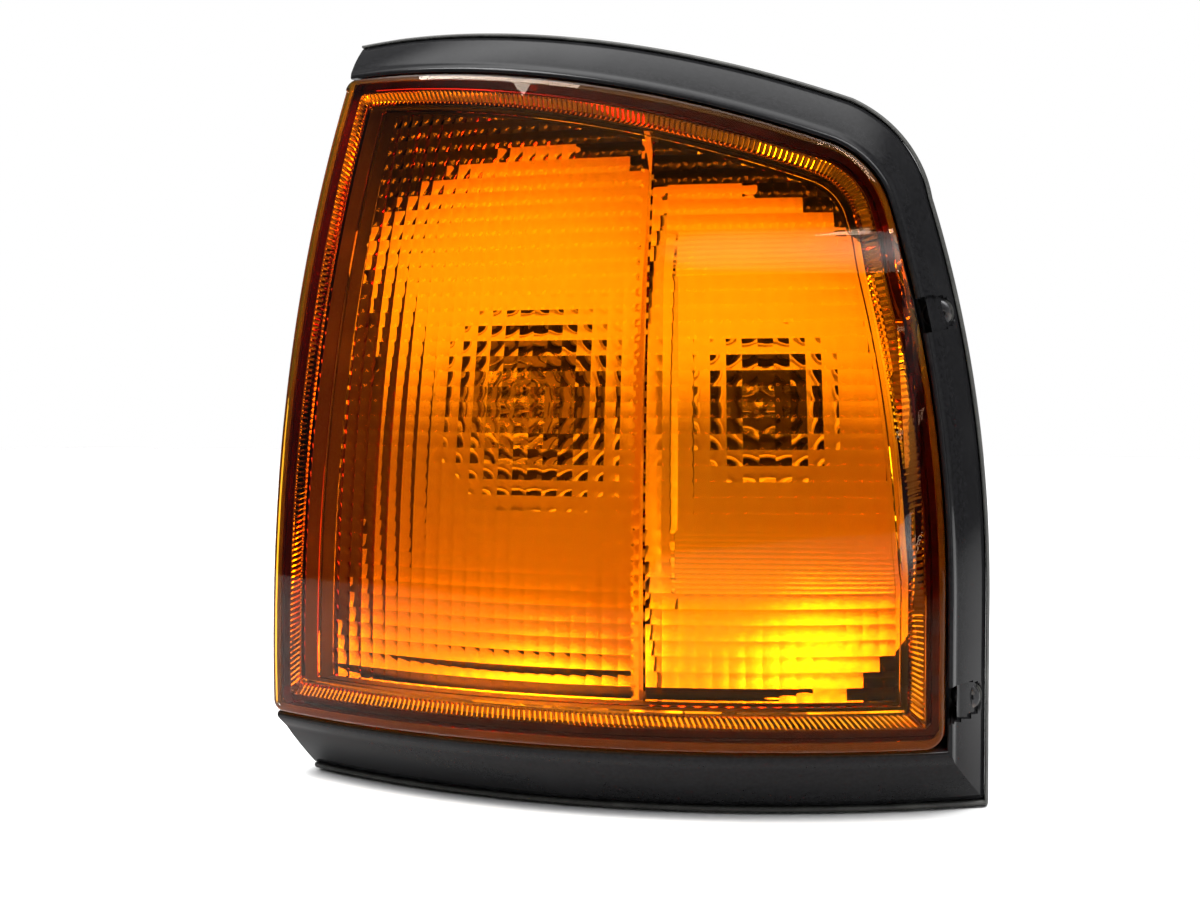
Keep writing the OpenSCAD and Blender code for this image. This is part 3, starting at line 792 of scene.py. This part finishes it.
def make_screws(black, zinc):
    """Mounting screws from the front, and trim and reflector screws from behind."""
    skin = Skin()
    for s in (LOWER_SCREW, UPPER_SCREW):
        screw(skin, facing(s.x, seat_y(s) + BOSS_BACK - BIG_SCREW_FORWARD, s.y), **BIG_SCREW)
    mesh_piece("mounting_screws_threaded", skin, "lamp_body", black, "mounting_screws", 30)
    skin = Skin()
    for s in TRIM_SPOTS:
        screw(skin, facing(s.x, seat_y(s) + POST_BACK, s.y, -1), length=TRIM_SCREW_L, **SMALL_SCREW)
    mesh_piece("trim_screws_threaded", skin, "lamp_body", zinc, "trim_screws", 30)
    skin = Skin()
    for s in REFLECTOR_SPOTS:
        screw(skin, facing(s.x, BACK_Y + REFLECTOR_SCREW_OUT, s.y, -1), length=REFLECTOR_SCREW_L, **SMALL_SCREW)
    mesh_piece("reflector_screws_threaded", skin, "lamp_body", zinc, "reflector_screws", 30)


# ---------------------------------------------------------------- materials
BUMP_HEIGHT = 0.0004


def shader(name, base, rough, metal=0.0, scale=400.0, tone=0.08, rough_span=0.06, bump=0.0, bump_scale=None,
           specular=0.5, stain=None, stain_scale=60.0, stretch=(1, 1, 1)):
    """A procedural surface: two scales of noise vary its tone and roughness, and a third bumps it. stain is a
    second colour that gathers in soft patches. Scales are per metre."""
    material = bpy.data.materials.new(name)
    material.use_nodes = True
    tree = material.node_tree
    nodes, links = tree.nodes, tree.links
    bsdf = nodes["Principled BSDF"]
    bsdf.inputs["Metallic"].default_value = metal
    bsdf.inputs["Specular IOR Level"].default_value = specular
    coords = nodes.new("ShaderNodeTexCoord")
    mapping = nodes.new("ShaderNodeMapping")
    mapping.inputs["Scale"].default_value = stretch
    links.new(coords.outputs["Object"], mapping.inputs["Vector"])

    def noise(size, detail):
        node = nodes.new("ShaderNodeTexNoise")
        node.inputs["Scale"].default_value = size
        node.inputs["Detail"].default_value = detail
        links.new(mapping.outputs["Vector"], node.inputs["Vector"])
        return node

    fine = noise(scale, 4)
    ramp = nodes.new("ShaderNodeValToRGB")
    ramp.color_ramp.elements[0].position = 0.3
    ramp.color_ramp.elements[1].position = 0.7
    ramp.color_ramp.elements[0].color = [c * (1 - tone) for c in base] + [1]
    ramp.color_ramp.elements[1].color = [min(c * (1 + tone), 1) for c in base] + [1]
    links.new(fine.outputs["Fac"], ramp.inputs["Fac"])
    colour = ramp.outputs["Color"]
    if stain is not None:
        patches = noise(stain_scale, 6)
        mask = nodes.new("ShaderNodeValToRGB")
        mask.color_ramp.elements[0].position = 0.52
        mask.color_ramp.elements[1].position = 0.72
        links.new(patches.outputs["Fac"], mask.inputs["Fac"])
        mix = nodes.new("ShaderNodeMix")
        mix.data_type = "RGBA"
        mix.inputs["B"].default_value = list(stain) + [1]
        links.new(mask.outputs["Color"], mix.inputs["Factor"])
        links.new(colour, mix.inputs["A"])
        colour = mix.outputs["Result"]
    links.new(colour, bsdf.inputs["Base Color"])
    spread = nodes.new("ShaderNodeMapRange")
    spread.inputs["To Min"].default_value = max(rough - rough_span, 0.0)
    spread.inputs["To Max"].default_value = rough + rough_span
    links.new(noise(scale * 0.2, 5).outputs["Fac"], spread.inputs["Value"])
    links.new(spread.outputs["Result"], bsdf.inputs["Roughness"])
    if bump:
        raised = nodes.new("ShaderNodeBump")
        raised.inputs["Strength"].default_value = bump
        raised.inputs["Distance"].default_value = BUMP_HEIGHT
        links.new(noise(bump_scale or scale, 3).outputs["Fac"], raised.inputs["Height"])
        links.new(raised.outputs["Normal"], bsdf.inputs["Normal"])
    return material


def clear(name, base, ior, rough, absorb=None, density=0.0, bump=0.02, bump_scale=90.0, specular=0.5):
    """A transparent solid that lights shine straight through; absorb is the colour that it lets through, at a
    density per metre."""
    material = shader(name, base, rough, scale=120, tone=0.02, rough_span=rough, bump=bump, bump_scale=bump_scale,
                      specular=specular)
    nodes, links = material.node_tree.nodes, material.node_tree.links
    bsdf, output = nodes["Principled BSDF"], nodes["Material Output"]
    bsdf.inputs["Transmission Weight"].default_value = 1.0
    bsdf.inputs["IOR"].default_value = ior
    if absorb is not None:
        volume = nodes.new("ShaderNodeVolumeAbsorption")
        volume.inputs["Color"].default_value = list(absorb) + [1]
        volume.inputs["Density"].default_value = density
        links.new(volume.outputs["Volume"], output.inputs["Volume"])
    rays = nodes.new("ShaderNodeLightPath")
    open_to_light = nodes.new("ShaderNodeBsdfTransparent")
    mix = nodes.new("ShaderNodeMixShader")
    links.new(rays.outputs["Is Shadow Ray"], mix.inputs["Fac"])
    links.new(bsdf.outputs["BSDF"], mix.inputs[1])
    links.new(open_to_light.outputs["BSDF"], mix.inputs[2])
    links.new(mix.outputs["Shader"], output.inputs["Surface"])
    return material


amber = clear("amber_acrylic", (0.99, 0.86, 0.5), 1.49, 0.012, (0.985, 0.79, 0.02), 900.0, specular=0.1)
# Weakens the lens's reflection of the studio, which would put a pale haze over it.
amber.node_tree.nodes["Principled BSDF"].inputs["Specular Tint"].default_value = (0.22, 0.16, 0.1, 1)
glass = clear("blown_glass", (0.985, 0.99, 0.985), 1.5, 0.004, bump=0.05, bump_scale=140)
gloss_black = shader("gloss_black", (0.006, 0.006, 0.0065), 0.13, scale=900, tone=0.3, rough_span=0.05,
                     bump=0.03, bump_scale=260, specular=0.06, stain=(0.009, 0.009, 0.0095), stain_scale=35)
housing_black = shader("housing_black", (0.026, 0.026, 0.028), 0.5, scale=1500, tone=0.3, rough_span=0.1,
                       bump=0.35, bump_scale=2600, specular=0.4, stain=(0.045, 0.044, 0.043), stain_scale=40)
rubber = shader("black_rubber", (0.024, 0.024, 0.022), 0.62, scale=1400, tone=0.3, rough_span=0.12, bump=0.3,
                bump_scale=1800, specular=0.35, stain=(0.055, 0.056, 0.05), stain_scale=70)
foam = shader("grey_foam", (0.1, 0.1, 0.104), 0.9, scale=1600, tone=0.55, rough_span=0.08, bump=1.0,
              bump_scale=1500, specular=0.2, stain=(0.06, 0.06, 0.062), stain_scale=120)
mirror = shader("bright_reflector", (0.93, 0.93, 0.935), 0.2, metal=0.8, scale=60, tone=0.03, rough_span=0.04,
                bump=0.06, bump_scale=45)
black_screw = shader("black_screw", (0.016, 0.016, 0.017), 0.36, metal=0.6, scale=1200, tone=0.4, rough_span=0.14,
                     bump=0.15, bump_scale=1900, stain=(0.09, 0.08, 0.07), stain_scale=500)
zinc = shader("zinc_screw", (0.62, 0.6, 0.52), 0.3, metal=1.0, scale=900, tone=0.12, rough_span=0.12, bump=0.12,
              bump_scale=1500, stain=(0.66, 0.58, 0.36), stain_scale=260)
grey_holder = shader("grey_holder", (0.17, 0.17, 0.176), 0.48, scale=2200, tone=0.25, rough_span=0.12, bump=0.3,
                     bump_scale=2400, specular=0.45, stain=(0.24, 0.238, 0.23), stain_scale=90)
black_holder = shader("black_holder", (0.02, 0.02, 0.022), 0.42, scale=2200, tone=0.3, rough_span=0.12, bump=0.25,
                      bump_scale=2400, specular=0.45, stain=(0.04, 0.04, 0.04), stain_scale=90)
brass = shader("drawn_brass", (0.72, 0.5, 0.2), 0.26, metal=1.0, scale=700, tone=0.12, rough_span=0.14, bump=0.1,
               bump_scale=1400, stain=(0.4, 0.26, 0.12), stain_scale=180, stretch=(1, 0.2, 1))
board = shader("brown_board", (0.2, 0.09, 0.035), 0.55, scale=1800, tone=0.35, rough_span=0.1, bump=0.25,
               bump_scale=2000, stain=(0.12, 0.05, 0.02), stain_scale=600)
tin = shader("tin_blade", (0.66, 0.65, 0.62), 0.32, metal=1.0, scale=800, tone=0.1, rough_span=0.12, bump=0.1,
             bump_scale=1300, stain=(0.5, 0.49, 0.46), stain_scale=300, stretch=(1, 0.15, 1))
spring = shader("spring_steel", (0.42, 0.42, 0.43), 0.28, metal=1.0, scale=1500, tone=0.15, rough_span=0.1,
                bump=0.1, stain=(0.25, 0.22, 0.2), stain_scale=700)
filament = shader("filament_metal", (0.4, 0.4, 0.41), 0.35, metal=1.0, scale=2500, tone=0.2, rough_span=0.1,
                  bump=0.1)
BY_SLOT = {
    "amber_lens": amber, "black_rubber": rubber, "black_housing": housing_black, "bright_reflector": mirror,
    "gloss_black_trim": gloss_black, "black_screw": black_screw, "zinc_screw": zinc, "grey_foam": foam,
    "grey_holder": grey_holder, "brass": brass, "brown_board": board, "tin_blade": tin, "spring_steel": spring,
    "black_holder": black_holder, "clear_glass": glass, "filament_metal": filament
}
for part in frame["record"]["subparts"]:
    slots = frame["nodes"][part["node"]].data.materials
    if len(slots) == 0:
        slots.append(None)
    for k in range(len(slots)):
        slots[k] = BY_SLOT[part["material_slot"]]

make_lens(amber)
make_trim(gloss_black)
make_edge_seal(rubber)
make_reflectors(mirror)
make_turn_bulb(glass, filament)
make_side_bulb(glass)
make_screws(black_screw, zinc)


# ---------------------------------------------------------------- floor, light and camera
FLOOR, FLOOR_GAP = 1.1, 0.0004
DOME_FROM, DOME_TO = 40.0, 58.0
DOME_LOW, DOME_HIGH = 0.12, 3.0
LIGHT_DISTANCE = 1.0
SOFTBOXES = [  # name, azimuth, elevation, size and power in watts
    ("key_left", -62, 62, (0.5, 0.4), 20), ("key_right", 60, 54, (0.4, 0.4), 13),
    ("low_left", -104, 4, (0.4, 0.8), 7), ("right", 66, 8, (0.16, 0.7), 2.5)
]
EYE = Vector((0.01174, -0.40622, 0.09503))
TARGET = Vector((-0.15205, 0.18438, 0.04716))
ROLL = math.radians(-0.707)
FOCAL_LENGTH, SENSOR_WIDTH, CLIP_START = 45.0, 36.0, 0.01
MIDDLE = (cad_box[0] + cad_box[1]) / 2


def add_floor():
    low = cad_box[0][2] - FLOOR_GAP
    corners = [(-FLOOR, -FLOOR, low), (FLOOR, -FLOOR, low), (FLOOR, FLOOR, low), (-FLOOR, FLOOR, low)]
    mesh = bpy.data.meshes.new("floor")
    mesh.from_pydata(corners, [], [(0, 1, 2, 3)])
    floor = bpy.data.objects.new("floor", mesh)
    bpy.context.scene.collection.objects.link(floor)
    mesh.materials.append(shader("floor_pale", (0.62, 0.62, 0.62), 0.8, scale=6, tone=0.006, specular=0.0))


def add_softbox(name, azimuth, elevation, size, power):
    """A softbox that faces the lamp: azimuth 0 is in front of it and 90 outboard."""
    light = bpy.data.lights.new(name, "AREA")
    light.shape = "RECTANGLE"
    light.size, light.size_y = size
    light.energy = power
    holder = bpy.data.objects.new(name, light)
    bpy.context.scene.collection.objects.link(holder)
    a, e = math.radians(azimuth), math.radians(elevation)
    away = Vector((math.sin(a) * math.cos(e), -math.cos(a) * math.cos(e), math.sin(e)))
    holder.location = MIDDLE + LIGHT_DISTANCE * away
    holder.rotation_euler = (MIDDLE - holder.location).to_track_quat("-Z", "Y").to_euler()


def add_world():
    """Pale where it is seen directly. As a light it is a bright dome overhead and dim lower down, so that the
    gloss black stays black."""
    world = bpy.data.worlds.new("studio")
    bpy.context.scene.world = world
    world.use_nodes = True
    nodes, links = world.node_tree.nodes, world.node_tree.links
    background = nodes["Background"]
    rays = nodes.new("ShaderNodeLightPath")
    mix = nodes.new("ShaderNodeMix")
    mix.data_type = "RGBA"
    mix.inputs["B"].default_value = (1, 1, 1, 1)
    coords = nodes.new("ShaderNodeTexCoord")
    parts = nodes.new("ShaderNodeSeparateXYZ")
    links.new(coords.outputs["Generated"], parts.inputs["Vector"])
    dome = nodes.new("ShaderNodeMapRange")
    dome.interpolation_type = "SMOOTHSTEP"
    dome.inputs["From Min"].default_value = math.sin(math.radians(DOME_FROM))
    dome.inputs["From Max"].default_value = math.sin(math.radians(DOME_TO))
    dome.inputs["To Min"].default_value = DOME_LOW
    dome.inputs["To Max"].default_value = DOME_HIGH
    links.new(parts.outputs["Z"], dome.inputs["Value"])
    links.new(dome.outputs["Result"], mix.inputs["A"])
    links.new(rays.outputs["Is Camera Ray"], mix.inputs["Factor"])
    links.new(mix.outputs["Result"], background.inputs["Color"])


def add_camera():
    camera = bpy.data.cameras.new("camera")
    camera.lens = FOCAL_LENGTH
    camera.sensor_width = SENSOR_WIDTH
    camera.clip_start = CLIP_START
    holder = bpy.data.objects.new("camera", camera)
    bpy.context.scene.collection.objects.link(holder)
    turn = (TARGET - EYE).to_track_quat("-Z", "Y").to_matrix().to_4x4()
    holder.matrix_world = turn @ Matrix.Rotation(ROLL, 4, "Z")
    holder.location = EYE
    bpy.context.scene.camera = holder


add_floor()
add_world()
for softbox in SOFTBOXES:
    add_softbox(*softbox)
add_camera()
bpy.context.scene.view_settings.view_transform = "Standard"
